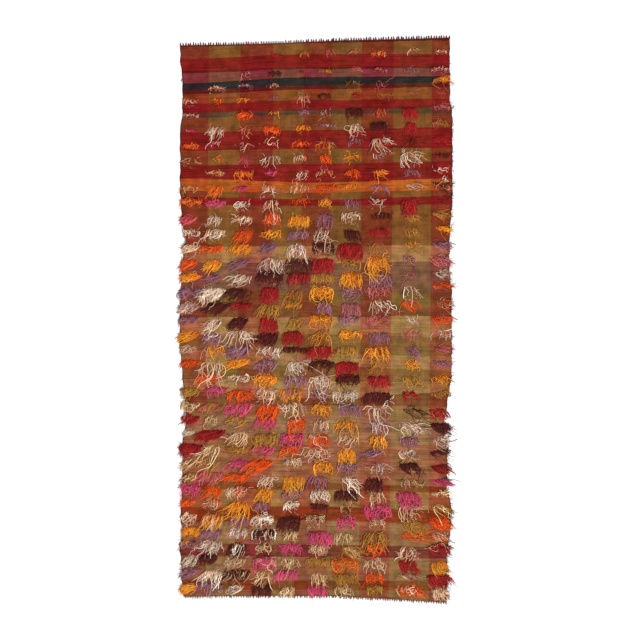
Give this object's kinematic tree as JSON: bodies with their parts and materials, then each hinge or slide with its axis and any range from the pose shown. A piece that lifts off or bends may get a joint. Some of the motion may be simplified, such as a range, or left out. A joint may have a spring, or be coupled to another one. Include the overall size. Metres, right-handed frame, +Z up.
{
  "type": "kilim runner rug",
  "caption": "Flat-woven woollen runner rug, plaid of stripes, with rows of loose knotted yarn tufts and short cut fringes at both ends.",
  "frame": {"origin": "on the floor, at the middle of the rug's length and width", "axes": "+X across the rug, +Y along it towards the end with the close stripes, +Z up"},
  "size_m": [1.0061, 1.9849, 0.013],
  "materials": {
    "tufted_cloth": "coarse plaid wool weave in madder red, olive and tan, matt",
    "warp_ends": "cut twisted wool ends, matt",
    "tuft_yarn": "loosely twisted wool ends in cream, orange, crimson, magenta, lavender, gold and dark brown"
  },
  "bodies": {
    "root": {"kilim_rug": "tufted_cloth", "fringe_top": "warp_ends", "fringe_bottom": "warp_ends"}
  },
  "joints": []
}
